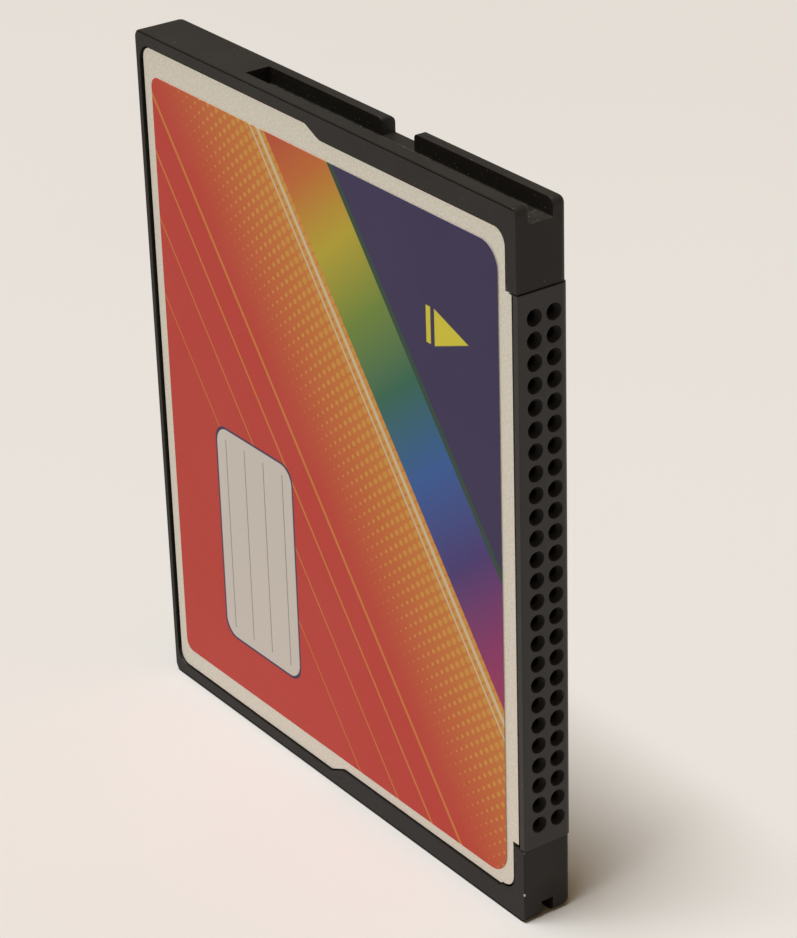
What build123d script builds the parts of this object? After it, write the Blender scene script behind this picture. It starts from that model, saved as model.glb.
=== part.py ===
"""Compact flash memory card, standing on one of its two guide sides.

X runs from the rear edge to the connector face, Y through the thickness from the label side to the
back, and Z up from the guide side that the card stands on. All sizes are in millimetres.
"""

import os
from math import cos, pi, radians, tan

from build123d import *

# Whole card
card_length = 36.4
card_width = 42.8
card_thickness = 3.3
rear_corner_radius = 0.55
connector_corner_radius = 0.47
front_edge_bevel = 0.05
back_edge_radius = 0.45
ear_set_back = 0.08

# Guide grooves, both open at the connector face: the wide one on top, the narrow one underneath
groove_length = 25.78
groove_depth = 1.0
wide_groove_width = 1.6
wide_groove_from_label_side = 0.76
narrow_groove_width = 0.78
narrow_groove_from_label_side = 1.22
notch_from_face = 12.0
notch_width = 3.0
notch_mouth_radius = 0.25

# Plastic rims left round the two covers, and the steps in their outline
rear_rim = 0.4
side_rim_at_rear = 0.8
side_rim_at_front = 1.4
side_rim_step_from_face = 18.35
side_rim_step_run = 1.3
side_rim_step_radius = 0.8
ear_rim = 0.93
connector_lip = 0.42
rim_rear_corner_radius = 1.0
rim_front_corner_radius = 1.15
corner_nick_from_face = 2.35
corner_nick_size = 0.15

# Stainless covers, bonded in their recesses by a thin film, and the printed label
cover_sink = 0.1
cover_thickness = 0.2
cover_gap_along = 0.25
cover_gap_across = 0.1
film_thickness = 0.05
film_margin = 0.1
film_on_housing = 3.0
label_thickness = 0.05
label_rear_margin = 1.46
label_face_margin = 1.77
label_low_margin = 2.18
label_high_margin = 2.52
label_rear_radius = 0.7
label_face_radius = 1.4

# Hollow of the frame, and the rests that hold the board in it
rear_wall = 1.0
side_wall = 2.4
rest_length = 2.2
rest_reach = 1.2
rest_from_end = 2.9

# Connector: two rows of sockets in one housing, which fills the space between the frame's ears
ear_width = 4.75
contact_pitch = 1.27
row_pitch = 1.27
rows_from_label_side = 1.685
housing_end_wall = 1.3
housing_depth = 5.6
housing_side_clearance = 0.06
housing_back_radius = 0.4
bore_radius = 0.28
mouth_radius = 0.5
mouth_angle = 62.0
socket_sides = 12
bore_and_mouth_depth = 1.5
chamber_size = 0.84
contact_width = 0.5
contact_beam_thickness = 0.2
contact_tip_gap = 0.2
contact_beam_length = 2.6
contact_root_length = 0.6
contact_tail_thickness = 0.15
contact_tail_on_board = 1.2
key_length = 2.0
key_height = 0.55
key_depth = 1.8
key_from_face = 3.7
key_clearance = 0.05

# Circuit board
board_thickness = 0.5
board_to_wall = 0.2
board_to_housing = 0.2

# Chips, measured over the moulded body; the leads add their reach at each end
chip_standoff = 0.08
chip_height = 0.86
chip_edge_bevel = 0.1
lead_thickness = 0.12
lead_foot = 0.4
flash_body_length = 18.4
flash_body_width = 12.0
flash_lead_reach = 0.8
flash_lead_pitch = 0.5
flash_lead_width = 0.22
flash_row_margin = 0.25
flash_to_board_edge = 0.8
controller_body = 7.0
controller_lead_reach = 1.0
controller_lead_pitch = 0.5
controller_lead_width = 0.22
controller_row_margin = 0.75

# Small parts on the board, and the gaps and spacings of their rows
part_gap = 1.2
crystal_length = 5.0
crystal_width = 3.2
crystal_base_height = 0.6
crystal_lid_height = 0.3
crystal_lid_margin = 0.3
regulator_length = 2.9
regulator_width = 1.3
regulator_height = 0.85
regulator_lead_reach = 0.7
regulator_lead_width = 0.4
regulator_lead_pitch = 0.95
tantalum_length = 3.2
tantalum_width = 1.6
tantalum_height = 0.85
tantalum_end = 0.5
capacitor_length = 1.6
capacitor_width = 0.8
capacitor_height = 0.8
capacitor_end = 0.35
capacitor_spacing_by_flash = 5.0
capacitor_spacing_by_controller = 2.6
capacitor_spacing_behind = 4.0
resistor_length = 1.0
resistor_width = 0.5
resistor_height = 0.35
resistor_end = 0.22
resistor_spacing = 1.3

# Places that follow from the sizes
x_rear = -card_length / 2
x_face = card_length / 2
y_front = -card_thickness / 2
y_back = card_thickness / 2
z_middle = card_width / 2
ledge_depth = cover_sink + cover_thickness + film_thickness
y_front_ledge = y_front + ledge_depth
y_back_ledge = y_back - ledge_depth
y_rows = y_front + rows_from_label_side
y_board_front = y_rows - board_thickness / 2
y_board_back = y_rows + board_thickness / 2
x_housing = x_face - housing_depth
x_hollow = x_rear + rear_wall
hollow_length = x_housing - x_hollow
hollow_width = card_width - 2 * side_wall
x_hollow_middle = (x_hollow + x_housing) / 2
housing_width = card_width - 2 * ear_width
contacts_per_row = int((housing_width - 2 * housing_end_wall) / contact_pitch) + 1
x_board_rear = x_hollow + board_to_wall
x_board_front = x_housing - board_to_housing
x_contact_tails = x_board_front - contact_tail_on_board
x_flash = x_board_rear + flash_to_board_edge + flash_body_width / 2
x_controller = (x_flash + flash_body_width / 2 + x_contact_tails) / 2
flash_leads_per_side = int((flash_body_width - 2 * flash_row_margin) / flash_lead_pitch) + 1
controller_leads_per_side = int((controller_body - 2 * controller_row_margin) / controller_lead_pitch) + 1


def facing_label_side(y):
    """Plane at depth y that looks out of the label side, with local x along X and local y along Z."""
    return Plane.XZ.offset(-y)


# The two faces of the board, each seen from outside, with local y along Z
on_board_front = Plane(origin=(0, y_board_front, 0), x_dir=(1, 0, 0), z_dir=(0, -1, 0))
on_board_back = Plane(origin=(0, y_board_back, 0), x_dir=(-1, 0, 0), z_dir=(0, 1, 0))


def cover_outline(y, gap_along=0.0, gap_across=0.0):
    """Sketch of a cover's recess at depth y, or with gaps the smaller outline of what lies in it."""
    rear = x_rear + rear_rim + gap_along
    ear = x_face - ear_rim - gap_along
    lip = x_face - connector_lip - gap_along
    step_middle = x_face - side_rim_step_from_face
    step_rear = step_middle - side_rim_step_run / 2
    step_front = step_middle + side_rim_step_run / 2
    low_rear = side_rim_at_rear + gap_across
    low_front = side_rim_at_front + gap_across
    high_rear = card_width - low_rear
    high_front = card_width - low_front
    tongue_low = z_middle - housing_width / 2 + gap_across
    tongue_high = z_middle + housing_width / 2 - gap_across
    nick = x_face - corner_nick_from_face
    corners = [
        ((rear, low_rear), rim_rear_corner_radius - gap_along),
        ((step_rear, low_rear), side_rim_step_radius),
        ((step_front, low_front), side_rim_step_radius),
        ((nick, low_front), 0),
        ((nick + corner_nick_size, low_front + corner_nick_size), 0),
        ((ear, low_front + corner_nick_size), rim_front_corner_radius - gap_along),
        ((ear, tongue_low), 0),
        ((lip, tongue_low), 0),
        ((lip, tongue_high), 0),
        ((ear, tongue_high), 0),
        ((ear, high_front), rim_front_corner_radius - gap_along),
        ((step_front, high_front), side_rim_step_radius),
        ((step_rear, high_rear), side_rim_step_radius),
        ((rear, high_rear), rim_rear_corner_radius - gap_along),
    ]
    with BuildSketch(facing_label_side(y)) as outline:
        with BuildLine():
            FilletPolyline(
                *[point for point, radius in corners],
                radius=[radius for point, radius in corners],
                close=True,
            )
        make_face()
    return outline.sketch


# Recesses for the covers, cut from both the frame and the connector housing
with BuildPart() as cover_recesses:
    extrude(cover_outline(y_front), amount=-ledge_depth)
    extrude(cover_outline(y_back), amount=ledge_depth)


# Frame: one moulding, open at the connector end between its two ears
with BuildPart() as frame:
    with BuildSketch(facing_label_side(y_front)) as outline:
        with Locations((-ear_set_back / 2, z_middle)):
            Rectangle(card_length - ear_set_back, card_width)
        fillet(outline.vertices().group_by(Axis.X)[0], rear_corner_radius)
        fillet(outline.vertices().group_by(Axis.X)[-1], connector_corner_radius)
    extrude(amount=-card_thickness)
    chamfer(frame.faces().sort_by(Axis.Y)[0].edges(), front_edge_bevel)
    fillet(frame.faces().sort_by(Axis.Y)[-1].edges(), back_edge_radius)
    add(cover_recesses.part, mode=Mode.SUBTRACT)

    # Hollow for the board, then the gap between the ears for the connector
    with BuildSketch(facing_label_side(y_front)):
        with Locations((x_hollow_middle, z_middle)):
            Rectangle(hollow_length, hollow_width)
        with Locations((x_face - housing_depth / 2, z_middle)):
            Rectangle(housing_depth, housing_width + 2 * housing_side_clearance)
    extrude(amount=-card_thickness, mode=Mode.SUBTRACT)

    # Guide grooves along the two sides
    with BuildSketch(Plane.YZ.offset(x_face)):
        with Locations((y_front + wide_groove_from_label_side, card_width - groove_depth)):
            Rectangle(wide_groove_width, groove_depth, align=Align.MIN)
        with Locations((y_front + narrow_groove_from_label_side, 0)):
            Rectangle(narrow_groove_width, groove_depth, align=Align.MIN)
    extrude(amount=-groove_length, mode=Mode.SUBTRACT)

    # Notch through the back wall of each groove, with rounded corners at its mouth
    x_notch = x_face - notch_from_face - notch_width / 2
    to_wide_groove = card_thickness - wide_groove_from_label_side - wide_groove_width / 2
    to_narrow_groove = card_thickness - narrow_groove_from_label_side - narrow_groove_width / 2
    for z_side, inward, reach in ((card_width, -1, to_wide_groove), (0, 1, to_narrow_groove)):
        z_mouth = z_side + inward * notch_mouth_radius
        x_round = notch_width / 2 + notch_mouth_radius
        with BuildSketch(facing_label_side(y_back)):
            with Locations((x_notch, z_side + inward * groove_depth / 2)):
                Rectangle(notch_width, groove_depth)
            with Locations((x_notch, (z_side + z_mouth) / 2)):
                Rectangle(2 * x_round, notch_mouth_radius)
            with Locations((x_notch - x_round, z_mouth), (x_notch + x_round, z_mouth)):
                Circle(notch_mouth_radius, mode=Mode.SUBTRACT)
        extrude(amount=reach, mode=Mode.SUBTRACT)

    # Four rests behind the corners of the board
    with BuildSketch(facing_label_side(y_board_back)):
        with Locations((x_hollow_middle, z_middle)):
            with GridLocations(hollow_length - 2 * rest_from_end, hollow_width - rest_reach, 2, 2):
                Rectangle(rest_length, rest_reach)
    extrude(amount=y_board_back - y_back_ledge)

    # Pockets for the keys of the connector housing, open towards the back cover
    with BuildSketch(facing_label_side(y_back_ledge)):
        with Locations((x_face - key_from_face, z_middle)):
            Rectangle(
                key_length + 2 * key_clearance,
                housing_width + 2 * (housing_side_clearance + key_height + key_clearance),
            )
    extrude(amount=key_depth + key_clearance, mode=Mode.SUBTRACT)


# Connector housing: full thickness only at its lip. Every socket has a tapered mouth, a bore that guides
# the pin and a square chamber for the contact. Two sockets in opposite corners are true circles, as the
# ones to measure from, and the rest have twelve sides, so that the whole card stays light.
on_connector_face = Plane(origin=(x_face, y_rows, z_middle), x_dir=(0, 1, 0), z_dir=(1, 0, 0))
on_housing_rear = Plane(origin=(x_housing, y_rows, z_middle), x_dir=(0, -1, 0), z_dir=(-1, 0, 0))
chamber_depth = housing_depth - bore_and_mouth_depth
mouth_depth = (mouth_radius - bore_radius) / tan(radians(mouth_angle / 2))
sockets = GridLocations(row_pitch, contact_pitch, 2, contacts_per_row).locations

with BuildPart() as socket_cutter:
    with BuildSketch(Plane.XY.offset(mouth_depth)):
        RegularPolygon(mouth_radius, socket_sides)
    extrude(amount=-2 * mouth_depth)
    mouth_end = socket_cutter.faces().sort_by(Axis.Z)[0]
    mouth_taper = (mouth_radius - bore_radius) * cos(pi / socket_sides)
    chamfer(mouth_end.edges(), mouth_taper, mouth_depth, reference=mouth_end)
    with BuildSketch():
        RegularPolygon(bore_radius, socket_sides)
    extrude(amount=-bore_and_mouth_depth)

with BuildPart() as connector_housing:
    with BuildSketch(facing_label_side(y_front)):
        with Locations((x_face - housing_depth / 2, z_middle)):
            Rectangle(housing_depth, housing_width)
    extrude(amount=-card_thickness)
    face_edges = connector_housing.edges().filter_by(Axis.Z).group_by(Axis.X)[-1].sort_by(Axis.Y)
    chamfer(face_edges[0], front_edge_bevel)
    fillet(face_edges[-1], housing_back_radius)
    with BuildSketch(facing_label_side(y_front)):
        with Locations((x_housing, z_middle)):
            Rectangle(housing_depth - connector_lip, housing_width, align=(Align.MIN, Align.CENTER))
    extrude(amount=-ledge_depth, mode=Mode.SUBTRACT)
    with BuildSketch(facing_label_side(y_back)):
        with Locations((x_housing, z_middle)):
            Rectangle(housing_depth - connector_lip, housing_width, align=(Align.MIN, Align.CENTER))
    extrude(amount=ledge_depth, mode=Mode.SUBTRACT)
    with BuildSketch(facing_label_side(y_back_ledge)):
        with Locations((x_face - key_from_face, z_middle)):
            Rectangle(key_length, housing_width + 2 * key_height)
    extrude(amount=key_depth)
    with Locations(on_connector_face):
        with Locations(sockets[0], sockets[-1]):
            CounterSinkHole(bore_radius, mouth_radius, bore_and_mouth_depth, mouth_angle)
        with Locations(*sockets[1:-1]):
            add(socket_cutter.part, mode=Mode.SUBTRACT)
    with BuildSketch(on_housing_rear):
        with Locations(*sockets):
            Rectangle(chamber_size, chamber_size)
    extrude(amount=-chamber_depth, mode=Mode.SUBTRACT)


# Socket contacts: a fork that grips the pin, and a flat tail that is soldered to the board
def fork_contact(y_row, y_board):
    """One contact, at height zero, in the row at y_row, with its tail on the board face at y_board."""
    towards_board = 1 if y_board > y_row else -1
    x_tip = x_housing + chamber_depth - contact_tip_gap
    x_fork = x_tip - contact_beam_length
    x_root = x_fork - contact_root_length
    outside = chamber_size / 2
    inside = outside - contact_beam_thickness
    tail = abs(y_board - y_row)
    tail_inner = tail - contact_tail_thickness
    corners = [
        (x_tip, outside),
        (x_root, outside),
        (x_root, tail),
        (x_contact_tails, tail),
        (x_contact_tails, tail_inner),
        (x_root, tail_inner),
        (x_root, -outside),
        (x_tip, -outside),
        (x_tip, -inside),
        (x_fork, -inside),
        (x_fork, inside),
        (x_tip, inside),
    ]
    with BuildPart() as contact:
        with BuildSketch(Plane.XY):
            with BuildLine():
                Polyline(*[(x, y_row + towards_board * y) for x, y in corners], close=True)
            make_face()
        extrude(amount=contact_width / 2, both=True)
    return contact.part


first_contact = z_middle - (contacts_per_row - 1) / 2 * contact_pitch
contact_places = [(0, 0, first_contact + k * contact_pitch) for k in range(contacts_per_row)]

with BuildPart() as front_row_contacts:
    with Locations(*contact_places):
        add(fork_contact(y_rows - row_pitch / 2, y_board_front))

with BuildPart() as back_row_contacts:
    with Locations(*contact_places):
        add(fork_contact(y_rows + row_pitch / 2, y_board_back))


# Covers, the films that bond them to the ledge, and the label
with BuildPart() as front_cover:
    extrude(cover_outline(y_front + cover_sink, cover_gap_along, cover_gap_across), amount=-cover_thickness)

with BuildPart() as back_cover:
    extrude(cover_outline(y_back - cover_sink, cover_gap_along, cover_gap_across), amount=cover_thickness)


def bond_film(y):
    """Rectangular ring of film at depth y, on the frame's ledge and the rear of the connector housing."""
    film_rear = x_rear + rear_rim + cover_gap_along + film_margin
    film_front = x_housing + film_on_housing
    film_rim = side_rim_at_front + cover_gap_across + corner_nick_size + film_margin
    with BuildSketch(facing_label_side(y)) as ring:
        with Locations(((film_rear + film_front) / 2, z_middle)):
            Rectangle(film_front - film_rear, card_width - 2 * film_rim)
        with Locations((x_hollow_middle, z_middle)):
            Rectangle(hollow_length, hollow_width, mode=Mode.SUBTRACT)
    return ring.sketch


with BuildPart() as front_bond_film:
    extrude(bond_film(y_front_ledge), amount=film_thickness)

with BuildPart() as back_bond_film:
    extrude(bond_film(y_back_ledge), amount=-film_thickness)

with BuildPart() as front_label:
    label_rear = x_rear + label_rear_margin
    label_face = x_face - label_face_margin
    label_high = card_width - label_high_margin
    with BuildSketch(facing_label_side(y_front + cover_sink)) as label_outline:
        with Locations(((label_rear + label_face) / 2, (label_low_margin + label_high) / 2)):
            Rectangle(label_face - label_rear, label_high - label_low_margin)
        fillet(label_outline.vertices().group_by(Axis.X)[0], label_rear_radius)
        fillet(label_outline.vertices().group_by(Axis.X)[-1], label_face_radius)
    extrude(amount=label_thickness)


# Circuit board
with BuildPart() as circuit_board:
    with BuildSketch(facing_label_side(y_board_front)):
        with Locations(((x_board_rear + x_board_front) / 2, z_middle)):
            Rectangle(x_board_front - x_board_rear, hollow_width - 2 * board_to_wall)
    extrude(amount=-board_thickness)


# Chips
def moulded_body(plane, x, width, length):
    """Moulded chip body over a board face, centred at local x and the card's middle height."""
    with BuildPart() as body:
        with BuildSketch(plane.offset(chip_standoff)):
            with Locations((x, z_middle)):
                Rectangle(width, length)
        extrude(amount=chip_height)
        top = body.faces().sort_by(Axis(plane.origin, plane.z_dir))[-1]
        chamfer(top.edges(), chip_edge_bevel)
    return body.part


def gull_wing(rise, reach, width):
    """One lead: from a chip's side, at height rise over the board, it slopes down to a flat foot."""
    half = lead_thickness / 2
    heel = reach - lead_foot
    with BuildPart() as lead:
        with BuildSketch(Plane.XZ):
            with BuildLine():
                Polyline(
                    (0, rise + half),
                    (heel, lead_thickness),
                    (reach, lead_thickness),
                    (reach, 0),
                    (heel - half, 0),
                    (0, rise - half),
                    close=True,
                )
            make_face()
        extrude(amount=width / 2, both=True)
    return lead.part


lead_rise = chip_standoff + chip_height / 2
flash_lead = gull_wing(lead_rise, flash_lead_reach, flash_lead_width)
controller_lead = gull_wing(lead_rise, controller_lead_reach, controller_lead_width)

with BuildPart() as front_flash_chip:
    add(moulded_body(on_board_front, x_flash, flash_body_width, flash_body_length))

with BuildPart(on_board_front) as front_flash_leads:
    for turn in (90, -90):
        end = z_middle + turn / 90 * flash_body_length / 2
        with Locations(Location((x_flash, end, 0), (0, 0, turn))):
            with GridLocations(0, flash_lead_pitch, 1, flash_leads_per_side):
                add(flash_lead)

with BuildPart() as back_flash_chip:
    add(moulded_body(on_board_back, -x_flash, flash_body_width, flash_body_length))

with BuildPart(on_board_back) as back_flash_leads:
    for turn in (90, -90):
        end = z_middle + turn / 90 * flash_body_length / 2
        with Locations(Location((-x_flash, end, 0), (0, 0, turn))):
            with GridLocations(0, flash_lead_pitch, 1, flash_leads_per_side):
                add(flash_lead)

with BuildPart() as controller_chip:
    add(moulded_body(on_board_front, x_controller, controller_body, controller_body))

with BuildPart(on_board_front) as controller_leads:
    with Locations((x_controller, z_middle)):
        with PolarLocations(controller_body / 2, 4):
            with GridLocations(0, controller_lead_pitch, 1, controller_leads_per_side):
                add(controller_lead)

# Crystal above the controller: a ceramic base with a metal lid
crystal_z = z_middle + controller_body / 2 + controller_lead_reach + part_gap + crystal_width / 2

with BuildPart() as crystal_base:
    with BuildSketch(on_board_front):
        with Locations((x_controller, crystal_z)):
            Rectangle(crystal_length, crystal_width)
    extrude(amount=crystal_base_height)

with BuildPart() as crystal_lid:
    with BuildSketch(on_board_front.offset(crystal_base_height)):
        with Locations((x_controller, crystal_z)):
            Rectangle(crystal_length - 2 * crystal_lid_margin, crystal_width - 2 * crystal_lid_margin)
    extrude(amount=crystal_lid_height)

# Row of capacitors below the controller, and below it the voltage regulator with its three leads
below_controller = z_middle - controller_body / 2 - controller_lead_reach - part_gap
regulator_z = below_controller - part_gap - regulator_lead_reach - regulator_width

with BuildPart() as voltage_regulator:
    with BuildSketch(on_board_front.offset(chip_standoff)):
        with Locations((x_controller, regulator_z)):
            Rectangle(regulator_length, regulator_width)
    extrude(amount=regulator_height)

with BuildPart(on_board_front) as regulator_leads:
    regulator_lead = gull_wing(
        chip_standoff + regulator_height / 2, regulator_lead_reach, regulator_lead_width
    )
    low_side = regulator_z - regulator_width / 2
    high_side = regulator_z + regulator_width / 2
    with Locations(
        Location((x_controller - regulator_lead_pitch, low_side, 0), (0, 0, -90)),
        Location((x_controller + regulator_lead_pitch, low_side, 0), (0, 0, -90)),
        Location((x_controller, high_side, 0), (0, 0, 90)),
    ):
        add(regulator_lead)


# Parts with an end cap at each end: a middle block and its two metal ends
def middle_block(length, width, height, end):
    """Block between the ends, standing on the local origin, with its length along local x."""
    with BuildPart() as block:
        Box(length - 2 * end, width, height, align=(Align.CENTER, Align.CENTER, Align.MIN))
    return block.part


def end_caps(length, width, height, end):
    """The two metal ends of such a part, as separate solids."""
    with BuildPart() as caps:
        with Locations((end / 2 - length / 2, 0), (length / 2 - end / 2, 0)):
            Box(end, width, height, align=(Align.CENTER, Align.CENTER, Align.MIN))
    return caps.part


capacitor = (capacitor_length, capacitor_width, capacitor_height, capacitor_end)
resistor = (resistor_length, resistor_width, resistor_height, resistor_end)
tantalum = (tantalum_length, tantalum_width, tantalum_height, tantalum_end)

# Decoupling capacitors beside the chips, as local x and height
below_flash = z_middle - flash_body_length / 2 - flash_lead_reach - part_gap
above_flash = z_middle + flash_body_length / 2 + flash_lead_reach + part_gap
front_capacitor_places = [
    *[(x_controller + step * capacitor_spacing_by_controller, below_controller) for step in (-1, 0, 1)],
    *[(x_flash + step * capacitor_spacing_by_flash, below_flash) for step in (-1, 0, 1)],
    *[(x_flash + step * capacitor_spacing_by_flash, above_flash) for step in (-1, 1)],
]
back_capacitor_places = [
    *[(-x_controller, z_middle + step * capacitor_spacing_behind) for step in (-1.5, -0.5, 0.5, 1.5)],
    *[(-x_flash + step * capacitor_spacing_by_flash, below_flash) for step in (-1, 1)],
]

with BuildPart() as ceramic_capacitors:
    for plane, places in ((on_board_front, front_capacitor_places), (on_board_back, back_capacitor_places)):
        with Locations(plane):
            with Locations(*places):
                add(middle_block(*capacitor))

with BuildPart() as capacitor_ends:
    for plane, places in ((on_board_front, front_capacitor_places), (on_board_back, back_capacitor_places)):
        with Locations(plane):
            with Locations(*places):
                add(end_caps(*capacitor))

# Six resistors in a row above the crystal, standing along the card's width
resistor_row = crystal_z + crystal_width / 2 + part_gap + resistor_length / 2
resistor_places = [
    Location((x_controller + step * resistor_spacing, resistor_row, 0), (0, 0, 90))
    for step in (-2.5, -1.5, -0.5, 0.5, 1.5, 2.5)
]

with BuildPart(on_board_front) as chip_resistors:
    with Locations(*resistor_places):
        add(middle_block(*resistor))

with BuildPart(on_board_front) as resistor_ends:
    with Locations(*resistor_places):
        add(end_caps(*resistor))

# Tantalum capacitor that buffers the supply
tantalum_place = (x_flash, above_flash + part_gap + tantalum_width)

with BuildPart(on_board_front) as tantalum_capacitor:
    with Locations(tantalum_place):
        add(middle_block(*tantalum))

with BuildPart(on_board_front) as tantalum_ends:
    with Locations(tantalum_place):
        add(end_caps(*tantalum))


pieces = {
    "frame": frame,
    "connector_housing": connector_housing,
    "front_row_contacts": front_row_contacts,
    "back_row_contacts": back_row_contacts,
    "front_cover": front_cover,
    "back_cover": back_cover,
    "front_bond_film": front_bond_film,
    "back_bond_film": back_bond_film,
    "front_label": front_label,
    "circuit_board": circuit_board,
    "controller_chip": controller_chip,
    "controller_leads": controller_leads,
    "front_flash_chip": front_flash_chip,
    "front_flash_leads": front_flash_leads,
    "back_flash_chip": back_flash_chip,
    "back_flash_leads": back_flash_leads,
    "crystal_base": crystal_base,
    "crystal_lid": crystal_lid,
    "voltage_regulator": voltage_regulator,
    "regulator_leads": regulator_leads,
    "ceramic_capacitors": ceramic_capacitors,
    "capacitor_ends": capacitor_ends,
    "chip_resistors": chip_resistors,
    "resistor_ends": resistor_ends,
    "tantalum_capacitor": tantalum_capacitor,
    "tantalum_ends": tantalum_ends,
}

os.makedirs("parts", exist_ok=True)
for name, piece in pieces.items():
    piece.part.label = name
    export_step(piece.part, f"parts/{name}.step")
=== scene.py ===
"""Finishes a compact flash memory card and sets it up in a plain studio.

The card stands on one guide side: X runs to its connector face, Y from the label side to the back, Z up.
Pieces are shaped in millimetres and brought down to metres when they are done.
"""

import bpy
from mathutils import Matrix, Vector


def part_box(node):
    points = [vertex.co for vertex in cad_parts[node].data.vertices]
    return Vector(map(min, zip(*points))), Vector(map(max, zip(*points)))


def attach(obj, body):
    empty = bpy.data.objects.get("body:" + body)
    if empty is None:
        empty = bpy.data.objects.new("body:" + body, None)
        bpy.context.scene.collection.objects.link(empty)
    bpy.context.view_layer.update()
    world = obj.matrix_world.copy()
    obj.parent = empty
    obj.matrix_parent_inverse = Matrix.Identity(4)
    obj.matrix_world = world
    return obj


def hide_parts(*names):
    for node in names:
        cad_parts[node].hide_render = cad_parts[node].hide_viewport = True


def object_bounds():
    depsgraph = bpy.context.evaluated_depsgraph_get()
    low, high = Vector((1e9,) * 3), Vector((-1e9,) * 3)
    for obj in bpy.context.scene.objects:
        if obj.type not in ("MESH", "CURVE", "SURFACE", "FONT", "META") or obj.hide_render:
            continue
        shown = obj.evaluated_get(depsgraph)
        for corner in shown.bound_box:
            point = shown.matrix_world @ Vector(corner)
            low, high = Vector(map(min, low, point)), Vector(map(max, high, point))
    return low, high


bl_info = {
    "name": "Memory Card Finishes",
    "version": (1, 0, 0),
    "blender": (4, 5, 0),
    "location": "3D View > Sidebar > Card",
    "description": "Softened mouldings, round sockets, metal covers, a printed label and a plain studio",
    "category": "Object",
}

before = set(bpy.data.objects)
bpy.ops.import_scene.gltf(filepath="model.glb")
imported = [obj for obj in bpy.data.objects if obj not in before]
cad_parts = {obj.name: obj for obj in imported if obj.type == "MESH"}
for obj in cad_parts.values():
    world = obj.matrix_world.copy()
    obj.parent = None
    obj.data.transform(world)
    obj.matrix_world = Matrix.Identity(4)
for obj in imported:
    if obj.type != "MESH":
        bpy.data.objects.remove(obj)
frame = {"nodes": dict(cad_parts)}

import math

import bpy
from bpy.props import FloatProperty, FloatVectorProperty, IntProperty, PointerProperty
from mathutils import Matrix, Vector

cad_low, cad_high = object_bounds()

MM = 0.001
BODY = "root"

# Angles that merge the triangles of a flat face, get a soft edge, and are shaded as one surface
FLAT_WITHIN = math.radians(0.4)
SHARP_EDGE = math.radians(35)
SMOOTH_BELOW = math.radians(30)

# Sizes of the card in millimetres, taken from the frame
CARD_LOW = Vector(cad_low) / MM
CARD_HIGH = Vector(cad_high) / MM
HOUSING_LOW, HOUSING_HIGH = (Vector(corner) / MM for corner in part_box("connector_housing"))
LABEL_LOW, LABEL_HIGH = (Vector(corner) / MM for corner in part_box("front_label"))
LABEL_MIDDLE = (LABEL_LOW + LABEL_HIGH) / 2
CARD_MIDDLE = (CARD_LOW + CARD_HIGH) / 2


def length_property(name, description, default):
    """A size in millimetres."""
    return FloatProperty(name=name, description=description, default=default, min=0.0, precision=3)


def colour_property(name, description, default):
    """A colour in linear light."""
    return FloatVectorProperty(
        name=name, description=description, default=default, min=0.0, max=1.0, size=3, subtype="COLOR"
    )


class CardSizes(bpy.types.PropertyGroup):
    """Sizes of what is shaped here, in millimetres."""

    moulded_edge: length_property("Moulded edge", "Radius that softens the moulded edges", 0.02)
    sheet_edge: length_property("Sheet edge", "Radius on the edges of the two covers", 0.03)
    film_edge: length_property("Film edge", "Radius on the edge of the label", 0.012)
    parting_line: length_property("Parting line", "Width and depth of the moulding's line", 0.06)
    parting_from_edge: length_property("Parting from edge", "Plastic left between line and edge", 0.08)
    key_height: length_property("Key height", "How far a key of the housing enters the frame's ear", 0.55)
    key_length: length_property("Key length", "Length of a key along the card", 2.0)
    key_depth: length_property("Key depth", "Depth of a key through the card", 1.8)
    key_from_face: length_property("Key from face", "Middle of a key from the connector face", 3.7)
    lip: length_property("Lip", "Full-thickness lip at the housing's face", 0.42)
    ledge_depth: length_property("Ledge depth", "Depth of the housing's ledges under the covers", 0.35)
    front_edge: length_property("Front edge", "Bevel of the housing's front edge", 0.05)
    back_edge: length_property("Back edge", "Radius of the housing's back edge", 0.4)
    socket_pitch: length_property("Socket pitch", "Distance between sockets, both ways", 1.27)
    rows_from_label_side: length_property("Rows from label side", "Middle of both rows", 1.685)
    mouth_radius: length_property("Mouth radius", "Radius of a socket's tapered mouth", 0.5)
    mouth_lip: length_property("Mouth lip", "Radius that rounds the rim of a mouth", 0.035)
    bore_radius: length_property("Bore radius", "Radius of a socket's bore", 0.28)
    bore_depth: length_property("Bore depth", "Depth of mouth and bore together", 1.5)
    chamber: length_property("Chamber", "Side of the square chamber behind a bore", 0.84)
    mouth_angle: FloatProperty(
        name="Mouth angle", description="Full angle of a mouth's taper",
        default=math.radians(62), min=math.radians(10), max=math.radians(150), subtype="ANGLE",
    )
    sockets_per_row: IntProperty(name="Sockets per row", description="Sockets in each row", default=25, min=1)


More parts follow.
